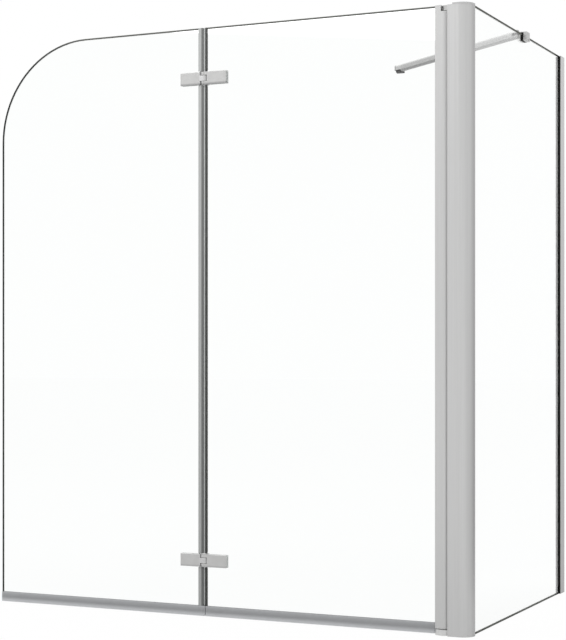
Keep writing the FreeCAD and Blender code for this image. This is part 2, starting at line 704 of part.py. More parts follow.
def build_wall_channel():
    outer_x = mirrored(channel_width / 2)
    inner_x = mirrored(channel_width / 2 - channel_wall)
    top = glass_top - channel_cap_thickness
    mouth = -channel_depth
    channel = block(outer_x, (mouth, 0), (0, top))
    channel = channel.cut(block(inner_x, (mouth - cut_overrun, -channel_back),
                                (-cut_overrun, top + cut_overrun)))
    for height in wall_hole_heights():
        ends = [Vector(0, y, height) for y in (-channel_back - cut_overrun, cut_overrun)]
        channel = channel.cut(rod(wall_hole_radius, *ends))
    save("wall_channel", channel)
    glass_end = -channel_glass_gap
    gasket = block(inner_x, (mouth, glass_end + channel_gasket_web), (0, top))
    lip_x = (outer_x[0] - channel_gasket_overhang, outer_x[1])
    gasket = gasket.fuse(block(lip_x, (mouth - channel_gasket_lip, mouth), (0, top))).removeSplitter()
    glass = block(mirrored(half_glass), (mouth - channel_gasket_lip - cut_overrun, glass_end),
                  (-cut_overrun, glass_top + cut_overrun))
    save("wall_gasket", gasket.cut(glass))
    cap = block(outer_x, (mouth, 0), (top, glass_top))
    opening = block(mirrored(half_glass + seat_clearance), (mouth - cut_overrun, glass_end + seat_clearance),
                    (top - cut_overrun, glass_top + cut_overrun))
    save("wall_channel_cap", cap.cut(opening))


# Support bar

def tongue(half_width, z_span):
    """A flat tongue from the pin along +x, rounded about the pin, in its own frame."""
    ends = [Vector(0, 0, z) for z in z_span]
    flat = block((0, fork_pin_gap), mirrored(half_width), z_span)
    flat = flat.fuse(rod(half_width, *ends)).removeSplitter()
    bore = [Vector(0, 0, z) for z in mirrored(bar_radius + cut_overrun)]
    return flat.cut(rod(swivel_pin_radius + running_fit, *bore))


def placed(shape, origin, angle):
    """The shape turned about +z and moved from the origin to its place."""
    shape = shape.copy()
    shape.rotate(Vector(0, 0, 0), up, angle)
    shape.translate(origin)
    return shape


def fork(slot_reach, slot_span):
    """The end of the bar that takes a tongue in its slot, with the bar running along +x."""
    ends = [Vector(x, 0, 0) for x in (-bar_radius, fork_length)]
    z_span = mirrored(bar_radius)
    plan = block((0, fork_length), mirrored(bar_radius), z_span)
    plan = plan.fuse(rod(bar_radius, *[Vector(0, 0, z) for z in z_span]))
    body = rod(bar_radius, *ends).common(plan.removeSplitter())
    slot = block((-bar_radius - cut_overrun, slot_reach), mirrored(bar_radius + cut_overrun), slot_span)
    body = body.cut(slot)
    bore = [Vector(0, 0, z) for z in mirrored(bar_radius + cut_overrun)]
    body = body.cut(rod(swivel_pin_radius + running_fit, *bore))
    spigot_radius = bar_radius - bar_tube_wall - fork_spigot_clearance
    spigot = [Vector(x, 0, 0) for x in (fork_length, fork_length + fork_spigot_length)]
    return body.fuse(rod(spigot_radius, *spigot)).removeSplitter()


def swivel_pin(place):
    ends = [place.add(up * z) for z in mirrored(swivel_pin_half_length)]
    return rod(swivel_pin_radius, *ends)


def build_support_bar():
    clamp_pin = Vector(clamp_pin_x, clamp_y + clamp_pin_offset, bar_z)
    wall_pin = Vector(wall_pin_x, wall_pin_y, bar_z)
    run = wall_pin.sub(clamp_pin)
    angle = math.degrees(math.atan2(run.y, run.x))
    along = Vector(run).normalize()
    clamp_slot_reach = tongue_half_width + fork_end_gap
    clamp_slot = mirrored(tongue_height / 2 + fork_play)
    wall_slot = (-bar_radius - cut_overrun, fork_play - bracket_lug_drop)
    clamp_fork = fork(clamp_slot_reach, clamp_slot)
    wall_fork = fork(fork_wall_slot_reach, wall_slot)
    save("bar_clamp_fork", placed(clamp_fork, clamp_pin, angle))
    save("bar_wall_fork", placed(wall_fork, wall_pin, angle + math.degrees(math.pi)))
    tube_ends = [clamp_pin.add(along * fork_length), wall_pin.sub(along * fork_length)]
    tube = rod(bar_radius, *tube_ends)
    hollow = [tube_ends[0].sub(along * cut_overrun), tube_ends[1].add(along * cut_overrun)]
    save("support_bar_tube", tube.cut(rod(bar_radius - bar_tube_wall, *hollow)))
    save("bar_clamp_pin", swivel_pin(clamp_pin))
    save("bar_wall_pin", swivel_pin(wall_pin))
    build_clamp(clamp_pin)
    build_bracket(wall_pin)


def build_clamp(pin):
    slot = half_glass + clamp_liner_thickness
    inner = -slot - clamp_inner_jaw
    outer = slot + clamp_outer_jaw
    foot = glass_top - clamp_drop
    roof = glass_top + clamp_liner_crown
    y_span = about(clamp_y, clamp_length / 2)
    body = block((inner, outer), y_span, (foot, roof + clamp_roof))
    body = body.cut(block(mirrored(slot), about(clamp_y, clamp_length), (foot - cut_overrun, roof)))
    bar_tongue = tongue(tongue_half_width, mirrored(tongue_height / 2))
    body = body.fuse(placed(bar_tongue, pin, 0)).removeSplitter()
    grub_z = foot + clamp_grub_rise
    grub_ends = [Vector(x, clamp_y, grub_z) for x in (slot, outer)]
    body = body.cut(rod(clamp_grub_radius + running_fit, *grub_ends))
    save("clamp_body", body)
    liner = block(mirrored(slot), about(clamp_y, clamp_length / 2 + clamp_liner_overhang), (foot, roof))
    glass = block(mirrored(half_glass), about(clamp_y, clamp_length), (foot - cut_overrun, glass_top))
    save("clamp_liner", liner.cut(glass))
    grub = rod(clamp_grub_radius, *grub_ends)
    socket = hexagon_socket(grub_ends[1], Vector(-1, 0, 0), clamp_grub_socket_radius, clamp_grub_socket_depth)
    save("clamp_grub_screw", grub.cut(socket))


def build_bracket(pin):
    x_span = about(pin.x, bracket_width / 2)
    z_span = about(pin.z, bracket_height / 2)
    plate = block(x_span, (-bracket_thickness, 0), z_span)
    quarter_turn = math.degrees(math.pi / 2)
    lug = tongue(bracket_lug_half_width, (-bracket_height / 2, -bracket_lug_drop))
    plate = plate.fuse(placed(lug, pin, quarter_turn)).removeSplitter()
    hole_z = pin.z + bracket_hole_rise
    for x in about(pin.x, bracket_hole_spacing / 2):
        ends = [Vector(x, y, hole_z) for y in (-bracket_thickness - cut_overrun, cut_overrun)]
        plate = plate.cut(rod(bracket_hole_radius, *ends))
    save("wall_bracket", plate)


os.makedirs("parts", exist_ok=True)
build_glasses()
for hinge_name, hinge_z in hinge_heights.items():
    build_hinge(hinge_name, hinge_z)
build_seals()
build_post()
build_post_cap()
build_upper_arm()
build_lower_arm()
build_arm_screws()
build_pivot()
build_wall_channel()
build_support_bar()
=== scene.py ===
import json
import math

import bmesh
import bpy
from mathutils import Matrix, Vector


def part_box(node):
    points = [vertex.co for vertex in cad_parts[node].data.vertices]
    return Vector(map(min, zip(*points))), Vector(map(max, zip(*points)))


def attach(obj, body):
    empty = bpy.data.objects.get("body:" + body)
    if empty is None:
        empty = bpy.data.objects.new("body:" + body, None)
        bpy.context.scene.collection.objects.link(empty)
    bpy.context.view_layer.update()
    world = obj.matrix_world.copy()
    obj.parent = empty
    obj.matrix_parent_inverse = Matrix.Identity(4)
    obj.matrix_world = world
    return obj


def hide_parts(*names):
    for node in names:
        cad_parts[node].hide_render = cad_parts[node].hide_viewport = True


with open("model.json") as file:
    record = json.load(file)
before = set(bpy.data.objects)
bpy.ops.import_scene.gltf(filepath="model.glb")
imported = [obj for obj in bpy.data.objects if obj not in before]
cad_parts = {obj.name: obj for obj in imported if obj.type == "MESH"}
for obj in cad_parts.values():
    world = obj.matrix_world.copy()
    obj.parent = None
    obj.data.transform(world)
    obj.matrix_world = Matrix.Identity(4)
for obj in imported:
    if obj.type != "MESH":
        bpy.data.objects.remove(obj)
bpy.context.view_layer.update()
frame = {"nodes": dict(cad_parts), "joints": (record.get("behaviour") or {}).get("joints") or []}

nodes = frame["nodes"]
scene = bpy.context.scene
scene.view_settings.view_transform = "Standard"
print("frame loaded:", len(nodes), "nodes")


# small helpers for node trees

def addNode(tree, kind, **settings):
    made = tree.nodes.new(kind)
    for key, value in settings.items():
        setattr(made, key, value)
    return made


def setInputs(node, **values):
    for key, value in values.items():
        node.inputs[key.replace("_", " ")].default_value = value
    return node


def newGroup(name, inputs, outputs):
    group = bpy.data.node_groups.new(name, "ShaderNodeTree")
    for label, kind, value in inputs:
        socket = group.interface.new_socket(label, in_out="INPUT", socket_type="NodeSocket" + kind)
        if value is not None:
            socket.default_value = value
    for label, kind in outputs:
        group.interface.new_socket(label, in_out="OUTPUT", socket_type="NodeSocket" + kind)
    return group, group.nodes.new("NodeGroupInput"), group.nodes.new("NodeGroupOutput")


def placeGroup(tree, group, **values):
    made = addNode(tree, "ShaderNodeGroup", node_tree=group)
    return setInputs(made, **values)


def mathNode(tree, operation, a, b=None, clamp=False):
    made = addNode(tree, "ShaderNodeMath", operation=operation, use_clamp=clamp)
    for socket, value in zip(made.inputs, (a, b)):
        if isinstance(value, (int, float)):
            socket.default_value = value
        elif value is not None:
            tree.links.new(value, socket)
    return made.outputs[0]


def mapRange(tree, value, low, high, toLow, toHigh):
    made = addNode(tree, "ShaderNodeMapRange")
    tree.links.new(value, made.inputs["Value"])
    for label, number in (("From Min", low), ("From Max", high), ("To Min", toLow), ("To Max", toHigh)):
        made.inputs[label].default_value = number
    return made.outputs[0]


def mixColour(tree, factor, a, b, blend="MIX"):
    made = addNode(tree, "ShaderNodeMix", data_type="RGBA", blend_type=blend)
    for socket, value in zip((made.inputs[0], made.inputs[6], made.inputs[7]), (factor, a, b)):
        if isinstance(value, bpy.types.NodeSocket):
            tree.links.new(value, socket)
        elif isinstance(value, (int, float)):
            socket.default_value = value
        else:
            socket.default_value = (*value, 1.0)
    return made.outputs[2]


def objectPlace(tree, turn=(0.0, 0.0, 0.0)):
    place = addNode(tree, "ShaderNodeTexCoord").outputs["Object"]
    if not any(turn):
        return place
    turned = addNode(tree, "ShaderNodeMapping")
    turned.inputs["Rotation"].default_value = turn
    tree.links.new(place, turned.inputs["Vector"])
    return turned.outputs[0]


def placeAxes(tree):
    split = addNode(tree, "ShaderNodeSeparateXYZ")
    tree.links.new(objectPlace(tree), split.inputs[0])
    return split.outputs


def grey(tone):
    return (tone, tone, tone)


def newMaterial(name, **settings):
    material = bpy.data.materials.new(name)
    material.use_nodes = True
    tree = material.node_tree
    shader = tree.nodes["Principled BSDF"]
    setInputs(shader, **settings)
    return material, tree, shader


def bumpFrom(tree, height, strength, distance, normal=None):
    bump = addNode(tree, "ShaderNodeBump")
    setInputs(bump, Strength=strength, Distance=distance)
    tree.links.new(height, bump.inputs["Height"])
    if normal is not None:
        tree.links.new(normal, bump.inputs["Normal"])
    return bump.outputs[0]


def seenBy(tree, *rays):
    path = addNode(tree, "ShaderNodeLightPath")
    seen = path.outputs[rays[0]]
    for ray in rays[1:]:
        seen = mathNode(tree, "MAXIMUM", seen, path.outputs[ray])
    return seen


def mixShaders(tree, factor, first, second):
    mixed = addNode(tree, "ShaderNodeMixShader")
    for source, socket in zip((factor, first.outputs[0], second.outputs[0]), mixed.inputs):
        tree.links.new(source, socket)
    tree.links.new(mixed.outputs[0], tree.nodes["Material Output"].inputs["Surface"])


# most of a noise's values lie in this span
noiseSpan = (0.3, 0.7)


def spreadRoughness(tree, shader, value, middle, spread):
    rough = mapRange(tree, value, *noiseSpan, middle - spread, middle + spread)
    tree.links.new(rough, shader.inputs["Roughness"])


def linkedObject(name, shape, *materials):
    mesh = bpy.data.meshes.new(name)
    shape.to_mesh(mesh)
    shape.free()
    for material in materials:
        mesh.materials.append(material)
    made = bpy.data.objects.new(name, mesh)
    scene.collection.objects.link(made)
    return made


# effects that several finishes share

def makeBrushedGrain():
    group, given, made = newGroup(
        "brushedGrain",
        [("Place", "Vector", None), ("Across", "Float", 1400.0), ("Along", "Float", 8.0)],
        [("Streaks", "Float"), ("Bands", "Float")])
    scale = addNode(group, "ShaderNodeCombineXYZ")
    for axis in ("X", "Y"):
        group.links.new(given.outputs["Across"], scale.inputs[axis])
    group.links.new(given.outputs["Along"], scale.inputs["Z"])
    stretched = addNode(group, "ShaderNodeVectorMath", operation="MULTIPLY")
    group.links.new(given.outputs["Place"], stretched.inputs[0])
    group.links.new(scale.outputs[0], stretched.inputs[1])
    for label, size, detail in (("Streaks", 1.0, 3.0), ("Bands", 0.12, 2.0)):
        noise = addNode(group, "ShaderNodeTexNoise")
        setInputs(noise, Scale=size, Detail=detail, Roughness=0.6)
        group.links.new(stretched.outputs[0], noise.inputs["Vector"])
        group.links.new(noise.outputs[0], made.inputs[label])
    return group


def makeSoftEdge():
    group, given, made = newGroup(
        "softEdge", [("Radius", "Float", 0.0005)], [("Edge", "Float"), ("Normal", "Vector")])
    flat, turned = 1.0, 0.75  # how far the rounded normal agrees with the face, on the flat and on a worn, highlighted edge
    rounded = addNode(group, "ShaderNodeBevel", samples=4)
    group.links.new(given.outputs["Radius"], rounded.inputs["Radius"])
    plain = addNode(group, "ShaderNodeNewGeometry")
    facing = addNode(group, "ShaderNodeVectorMath", operation="DOT_PRODUCT")
    group.links.new(rounded.outputs[0], facing.inputs[0])
    group.links.new(plain.outputs["Normal"], facing.inputs[1])
    edge = mapRange(group, facing.outputs["Value"], flat, turned, 0.0, 1.0)
    group.links.new(edge, made.inputs["Edge"])
    group.links.new(rounded.outputs[0], made.inputs["Normal"])
    return group


def makeFineSpeckle():
    group, given, made = newGroup(
        "fineSpeckle",
        [("Place", "Vector", None), ("Size", "Float", 1800.0)],
        [("Speckle", "Float"), ("Mottle", "Float")])
    for label, share in (("Speckle", 1.0), ("Mottle", 0.03)):
        noise = addNode(group, "ShaderNodeTexNoise")
        setInputs(noise, Detail=3.0, Roughness=0.55)
        group.links.new(mathNode(group, "MULTIPLY", given.outputs["Size"], share), noise.inputs["Scale"])
        group.links.new(given.outputs["Place"], noise.inputs["Vector"])
        group.links.new(noise.outputs[0], made.inputs[label])
    return group


brushedGrain = makeBrushedGrain()
softEdge = makeSoftEdge()
fineSpeckle = makeFineSpeckle()
print("shared effects made")


# finishes

def shaded(tree, colour, look):
    # painted light and shade: stretches of another tone along an axis, and a painted shade on whatever faces down
    for axis, start, end, tone in look.get("paintedShading", []):
        colour = mixColour(tree, mapRange(tree, placeAxes(tree)[axis], start, end, 0.0, 1.0), colour, tone)
    if "under" in look:
        start, end, tone = look["under"]
        facing = addNode(tree, "ShaderNodeSeparateXYZ")
        tree.links.new(addNode(tree, "ShaderNodeNewGeometry").outputs["Normal"], facing.inputs[0])
        colour = mixColour(tree, mapRange(tree, facing.outputs["Z"], start, end, 0.0, 1.0), colour, tone)
    return colour


aluminiumFinish = {"wearAndHighlight": 0.5, "roughSpread": 0.05, "bump": 0.25, "bumpDepth": 0.00004}
castingFinish = {"wearAndHighlight": 0.6, "roughSpread": 0.06, "bump": 0.2, "bumpDepth": 0.00003}
plasticFinish = {"wearAndHighlight": 0.35, "roughSpread": 0.08, "bump": 0.2, "bumpDepth": 0.00005}
sealFinish = {"lines": 0.16, "roughSpread": 0.08, "bump": 0.25, "bumpDepth": 0.00006, "ior": 1.5}


def wornHighlitSurface(tree, shader, base, grain, look, finish):
    # edge wear and a painted edge highlight over the base colour, with roughness and bump from the grain
    edge = placeGroup(tree, softEdge, Radius=look["edgeRadius"])
    wornAndHighlit = mixColour(tree, mathNode(tree, "MULTIPLY", edge.outputs["Edge"], finish["wearAndHighlight"]), base, look["edge"])
    tree.links.new(shaded(tree, wornAndHighlit, look), shader.inputs["Base Color"])
    spreadRoughness(tree, shader, grain, look["roughness"], finish["roughSpread"])
    height = bumpFrom(tree, grain, finish["bump"], finish["bumpDepth"], edge.outputs["Normal"])
    tree.links.new(height, shader.inputs["Normal"])


def brushedAluminium(name, look, turn=(0.0, 0.0, 0.0)):
    material, tree, shader = newMaterial(name, Metallic=look["metallic"])
    grain = placeGroup(tree, brushedGrain, Across=look["across"], Along=look["along"])
    tree.links.new(objectPlace(tree, turn), grain.inputs["Place"])
    streaky = mixColour(tree, grain.outputs["Streaks"], look["dark"], look["light"])
    bands = mapRange(tree, grain.outputs["Bands"], *noiseSpan, 0.0, look["bands"])
    banded = mixColour(tree, bands, streaky, look["dark"])
    wornHighlitSurface(tree, shader, banded, grain.outputs["Streaks"], look, aluminiumFinish)
    return material


def speckled(name, look, finish, **settings):
    material, tree, shader = newMaterial(name, **settings)
    speckle = placeGroup(tree, fineSpeckle, Size=look["size"])
    tree.links.new(objectPlace(tree), speckle.inputs["Place"])
    base = mixColour(tree, speckle.outputs["Mottle"], look["dark"], look["light"])
    wornHighlitSurface(tree, shader, base, speckle.outputs["Speckle"], look, finish)
    return material


def satinCasting(name, look):
    return speckled(name, look, castingFinish, Metallic=look["metallic"])


def mouldedPlastic(name, look):
    return speckled(name, look, plasticFinish, Specular_IOR_Level=look["shine"])


def sealExtrusion(name, look):
    # soft PVC drawn along its length, with a run of tones across it and a painted shade that grows towards the
    # floor
    material, tree, shader = newMaterial(name, IOR=sealFinish["ior"], Specular_IOR_Level=look["shine"])
    grain = placeGroup(tree, brushedGrain, Across=look["across"], Along=look["along"])
    tree.links.new(objectPlace(tree, look["turn"]), grain.inputs["Place"])
    axes = placeAxes(tree)
    tone = addNode(tree, "ShaderNodeValToRGB")
    low, high = look["tones"][0][0], look["tones"][-1][0]
    tree.links.new(mapRange(tree, axes[look["axis"]], low, high, 0.0, 1.0), tone.inputs[0])
    stops = tone.color_ramp.elements
    for number, (place, shade) in enumerate(look["tones"]):
        stop = stops[number] if number < 2 else stops.new(1.0)  # a new ramp has two stops
        stop.position = (place - low) / (high - low)
        stop.color = (*[shade * part for part in look["hue"]], 1.0)
    lines = mapRange(tree, grain.outputs["Bands"], *noiseSpan, 0.0, sealFinish["lines"])
    drawn = mixColour(tree, lines, tone.outputs[0], look["line"])
    floorShadePainted = mixColour(tree, mapRange(tree, axes["Z"], *look["paintedFloorShade"]), drawn, grey(0.0))
    tree.links.new(floorShadePainted, shader.inputs["Base Color"])
    spreadRoughness(tree, shader, grain.outputs["Streaks"], look["roughness"], sealFinish["roughSpread"])
    height = bumpFrom(tree, grain.outputs["Streaks"], sealFinish["bump"], sealFinish["bumpDepth"])
    tree.links.new(height, shader.inputs["Normal"])
    return material


def dress(material, *names):
    for name in names:
        nodes[name].data.materials.clear()
        nodes[name].data.materials.append(material)


# aluminium: corner post, pivot profile, wall channel and the bar
aluminiumLook = {
    "metallic": 0.85, "across": 1500.0, "along": 5.0, "bands": 0.3, "edgeRadius": 0.0006,
    "dark": (0.52, 0.52, 0.52), "light": (0.655, 0.655, 0.65), "edge": (0.72, 0.72, 0.72), "roughness": 0.36,
}
dress(brushedAluminium("uprightAluminium", aluminiumLook), "pivot_profile")
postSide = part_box("corner_post")[1].x
postLook = {**aluminiumLook, "paintedShading": [("X", postSide - 0.004, postSide, grey(0.47))]}  # painted shade, darker to its outer side
dress(brushedAluminium("postAluminium", postLook), "corner_post")
channelLook = {**aluminiumLook, "paintedShading": [("Z", 1.3, 0.05, grey(0.39))]}  # painted shade, darker towards the floor
dress(brushedAluminium("channelAluminium", channelLook), "wall_channel")

# the bar's grain runs along it, from the clamp pin to the wall pin
joints = {joint["name"]: joint for joint in frame["joints"]}
barRun = Vector(joints["bracket_swivel"]["pos_m"]) - Vector(joints["bar_swivel"]["pos_m"])
barTurn = tuple(barRun.rotation_difference(Vector((0.0, 0.0, 1.0))).to_euler())
# its under entry is painted shade on whatever faces down
barLook = {
    **aluminiumLook, "along": 8.0, "roughness": 0.26, "dark": (0.4, 0.4, 0.4), "light": (0.52, 0.52, 0.515),
    "under": (-0.42, -0.7, grey(0.22)),
}
dress(brushedAluminium("barAluminium", barLook, barTurn), "support_bar_tube")

# satin castings: hinges, pivot arms, the bar's forks and its clamp
castingLook = {
    "metallic": 0.85, "size": 2200.0, "edgeRadius": 0.0005,
    "dark": (0.465, 0.465, 0.46), "light": (0.55, 0.55, 0.545), "edge": (0.66, 0.66, 0.66), "roughness": 0.34,
}
dress(satinCasting("satinCasting", castingLook), "top_pivot_arm")
hingeAxis = Vector(joints["leaf_hinge"]["pos_m"])
# the lower hinge is a lighter copy of the same casting: painted light
lowerLook = {**castingLook, "dark": (0.5, 0.5, 0.495), "light": (0.59, 0.59, 0.585)}
footRise = (0.005, 0.002)  # painted shade: the lower edge of each plate is darker
knuckleShades = {"leaf": (-0.0105, -0.0085, 0.6), "middle": (-0.002, -0.006, 0.88)}  # painted light: paler knuckles and the grooves beside them
for level, look, tone in (("upper", castingLook, 0.34), ("lower", lowerLook, 0.46)):
    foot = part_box("hinge_%s_leaf_body" % level)[0].z
    footShade = ("Z", *[foot + rise for rise in footRise], grey(tone))
    for side, (start, end, bright) in knuckleShades.items():
        knuckleShade = ("X", hingeAxis.x + start, hingeAxis.x + end, grey(bright))
        hingeLook = {**look, "paintedShading": [knuckleShade, footShade]}
        cast = ["hinge_%s_%s_%s" % (level, side, part) for part in ("body", "clamp_plate")]
        dress(satinCasting("%s%sHingeCasting" % (level, side.title()), hingeLook), *cast)
# the bottom pivot arm is a lighter copy of the casting: painted light
armLook = {**castingLook, "dark": (0.66, 0.66, 0.655), "light": (0.74, 0.74, 0.735)}
dress(satinCasting("footCasting", armLook), "bottom_pivot_arm")
# the forks carry the bar's painted shade on whatever faces down
forkLook = {**castingLook, "under": barLook["under"]}
dress(satinCasting("forkCasting", forkLook), "bar_clamp_fork")
wallPin = joints["bracket_swivel"]["pos_m"][0]
wallForkLook = {**forkLook, "paintedShading": [("X", wallPin - 0.004, wallPin - 0.007, grey(0.2))]}  # painted shade, dark past its pin
dress(satinCasting("wallForkCasting", wallForkLook), "bar_wall_fork")
clampPin = joints["bar_swivel"]["pos_m"][0]
clampLook = {**castingLook, "paintedShading": [("X", clampPin + 0.01085, clampPin + 0.01055, grey(0.09))]}  # painted shadow on its tongue
dress(satinCasting("clampCasting", clampLook), "clamp_body")

# screws, pins, rubber and plastics
steelLook = {
    "metallic": 1.0, "size": 3000.0, "edgeRadius": 0.0002,
    "dark": (0.42, 0.42, 0.43), "light": (0.56, 0.56, 0.57), "edge": (0.7, 0.7, 0.7), "roughness": 0.28,
}
dress(satinCasting("screwSteel", steelLook), *[name for name in nodes if name.endswith(("_screws", "_pin"))])
blackSteelLook = {
    **steelLook, "dark": (0.025, 0.025, 0.027), "light": (0.06, 0.06, 0.062), "edge": (0.12, 0.12, 0.12),
}
dress(satinCasting("blackenedSteel", blackSteelLook), "clamp_grub_screw")

rubberLook = {
    "size": 1500.0, "edgeRadius": 0.0003, "dark": (0.003, 0.003, 0.003), "light": (0.008, 0.008, 0.008),
    "edge": (0.02, 0.02, 0.02), "roughness": 0.6, "shine": 0.15,
}
dress(mouldedPlastic("blackRubber", rubberLook), "post_gasket", "pivot_profile_gasket", "clamp_liner")
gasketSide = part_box("wall_gasket")[1].x
gasketLook = {
    **rubberLook, "paintedShading": [("X", gasketSide - 0.0009, gasketSide - 0.0005, grey(0.3))],  # painted light, grey on its outer side
    "beadReach": 0.0022, "beadTurns": 8,
}
gasketRubber = mouldedPlastic("gasketRubber", gasketLook)
dress(gasketRubber, "wall_gasket")


def gasketBead(look):
    # the soft rounded edge of the channel's gasket, on its inner side
    low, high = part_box("wall_gasket")
    half = (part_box("wall_channel")[0].y - low.y) / 2
    turns = [math.pi * step / look["beadTurns"] for step in range(look["beadTurns"] + 1)]
    ring = [(low.x - look["beadReach"] * math.sin(turn), low.y + half - half * math.cos(turn)) for turn in turns]
    bead = bmesh.new()
    foot, top = [[bead.verts.new((x, y, z)) for x, y in ring] for z in (low.z, high.z)]
    for here in range(len(ring)):
        there = (here + 1) % len(ring)
        bead.faces.new((foot[here], foot[there], top[there], top[here]))
    bead.faces.new(foot)
    bead.faces.new(top)
    bmesh.ops.recalc_face_normals(bead, faces=bead.faces)
    piece = linkedObject("gasketBead", bead, gasketRubber)
    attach(piece, "fixed_frame")


gasketBead(gasketLook)

# painted shade: the wall bracket is near black where it lies in shade under the bar
bracketLook = {
    "size": 1500.0, "edgeRadius": 0.0005, "dark": (0.005, 0.005, 0.005), "light": (0.012, 0.012, 0.012),
    "edge": (0.025, 0.025, 0.025), "roughness": 0.5, "shine": 0.12,
}
dress(mouldedPlastic("bracketPaintedShade", bracketLook), "wall_bracket")

padLook = {
    "size": 1500.0, "edgeRadius": 0.0002, "dark": (0.68, 0.69, 0.69), "light": (0.76, 0.77, 0.77),
    "edge": (0.8, 0.8, 0.8), "roughness": 0.5, "shine": 0.4,
}
dress(mouldedPlastic("greyPads", padLook), *[name for name in nodes if name.endswith("_pads")])

nylonLook = {
    "size": 1200.0, "edgeRadius": 0.0002, "dark": (0.74, 0.74, 0.71), "light": (0.82, 0.82, 0.79),
    "edge": (0.86, 0.86, 0.84), "roughness": 0.45, "shine": 0.5,
}
dress(mouldedPlastic("whiteNylon", nylonLook), *[name for name in nodes if name.endswith(("_bush", "_washers"))])

capLook = {
    "size": 1500.0, "edgeRadius": 0.0006, "dark": (0.50, 0.50, 0.50), "light": (0.58, 0.58, 0.58),
    "edge": (0.64, 0.64, 0.64), "roughness": 0.4, "shine": 0.5,
}
dress(mouldedPlastic("capPlastic", capLook), "post_top_cap", "wall_channel_cap")
print("metals, rubber and plastics dressed")

# seals: drip strips under the glasses and edge strips in the joint
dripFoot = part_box("leaf_bottom_seal")[0].z
dripTones = [(0.0, 0.6), (0.004, 0.5), (0.0105, 0.285), (0.013, 0.285), (0.019, 0.345), (0.0215, 0.4)]
dripLook = {
    "turn": (0.0, math.radians(90.0), 0.0), "across": 900.0, "along": 4.0, "axis": "Z", "hue": (0.985, 1.0, 1.03),
    "tones": [(dripFoot + rise, shade) for rise, shade in dripTones],
    "paintedFloorShade": (0.0, 1.0, 0.0, 0.0), "line": (0.22, 0.225, 0.235), "roughness": 0.4, "shine": 0.5,
}
dress(sealExtrusion("dripSeal", dripLook), "leaf_bottom_seal", "middle_bottom_seal")

sealTones = [
    (-0.0082, 0.53), (-0.0065, 0.33), (-0.0048, 0.2), (-0.003, 0.2), (-0.002, 0.36), (-0.0006, 0.4), (0.0, 0.75),
]
leafSealLook = {
    "turn": (0.0, 0.0, 0.0), "across": 900.0, "along": 4.0, "axis": "X", "hue": (0.98, 1.0, 0.99),
    "tones": [(hingeAxis.x + reach, shade) for reach, shade in sealTones],
    "paintedFloorShade": (0.1, 1.2, 0.32, 0.0), "line": (0.3, 0.31, 0.3), "roughness": 0.4, "shine": 0.35,
}
dress(sealExtrusion("leafEdgeSeal", leafSealLook), "leaf_edge_seal")
middleSealLook = {
    **leafSealLook, "tones": [(hingeAxis.x + reach, shade) for reach, shade in ((0.002, 0.13), (0.0055, 0.08))],
    "line": (0.05, 0.05, 0.05), "paintedFloorShade": (0.1, 1.2, 0.62, 0.0), "shine": 0.25,
}
dress(sealExtrusion("middleEdgeSeal", middleSealLook), "middle_edge_seal")
print("seals dressed")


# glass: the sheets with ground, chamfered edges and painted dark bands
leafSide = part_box("leaf_glass")[0].x
glassLook = {
    "arris": 0.0007, "frontBand": 0.0031, "sideBand": 0.0045, "hingeReach": (0.0055, 0.065), "hingeRise": 0.022,
    "tint": (0.988, 0.997, 0.992), "film": (0.98, 0.99, 0.985), "ior": 1.5, "filmSize": 120.0,
    "filmRoughness": (0.55, 0.8, 0.0, 0.015), "shadowTint": (0.96, 0.975, 0.967, 1.0),
    "edgeDark": (0.03, 0.034, 0.032), "edgeLight": (0.16, 0.163, 0.15),
    "edgeSpan": (leafSide + 0.0395, leafSide + 0.2395),  # painted shade: the free end of the leaf has the darker edges
    "edgeGrain": 700.0, "edgeDust": 0.3, "edgeRoughness": 0.4, "edgeSpread": 0.08,
    "channelSpan": (-0.08, -0.05), "channelPaintedShade": grey(0.004),
}


def clearSheet(look):
    material, tree, shader = newMaterial("clearSheet", Transmission_Weight=1.0, IOR=look["ior"], Roughness=0.0)
    speckle = placeGroup(tree, fineSpeckle, Size=look["filmSize"])
    tree.links.new(objectPlace(tree), speckle.inputs["Place"])
    film = mixColour(tree, speckle.outputs["Mottle"], look["tint"], look["film"])
    tree.links.new(film, shader.inputs["Base Color"])
    rough = mapRange(tree, speckle.outputs["Mottle"], *look["filmRoughness"])
    tree.links.new(rough, shader.inputs["Roughness"])
    # light passes the sheet to whatever dull surface lies behind it, so it throws hardly any shadow
    clear = addNode(tree, "ShaderNodeBsdfTransparent")
    clear.inputs["Color"].default_value = look["shadowTint"]
    mixShaders(tree, seenBy(tree, "Is Shadow Ray", "Is Diffuse Ray"), shader, clear)
    return material


def groundEdgePaintedShade(look):
    # the edges are dark partly from their own ground finish and partly as painted shade for the refracted rim; the
    # bands on the faces are painted shade
    material, tree, shader = newMaterial("groundEdgePaintedShade", Specular_IOR_Level=0.0)
    grain = placeGroup(tree, brushedGrain, Across=look["edgeGrain"], Along=look["edgeGrain"])
    tree.links.new(objectPlace(tree), grain.inputs["Place"])
    axes = placeAxes(tree)
    alongFront = mapRange(tree, axes["X"], *look["edgeSpan"], 0.0, 1.0)
    tone = mixColour(tree, alongFront, look["edgeDark"], look["edgeLight"])
    dust = mapRange(tree, grain.outputs["Streaks"], *noiseSpan, 0.0, look["edgeDust"])
    dusty = mixColour(tree, dust, tone, look["edgeDark"])
    # painted shade: in the wall channel, where the strip lies between black gaskets, it is near black
    inChannel = mapRange(tree, axes["Y"], *look["channelSpan"], 0.0, 1.0)
    tree.links.new(mixColour(tree, inChannel, dusty, look["channelPaintedShade"]), shader.inputs["Base Color"])
    spreadRoughness(tree, shader, grain.outputs["Bands"], look["edgeRoughness"], look["edgeSpread"])
    return material


sheetMaterials = [clearSheet(glassLook), groundEdgePaintedShade(glassLook)]
hingeMiddles = [sum(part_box(name), Vector()) / 2 for name in ("hinge_upper_pin", "hinge_lower_pin")]


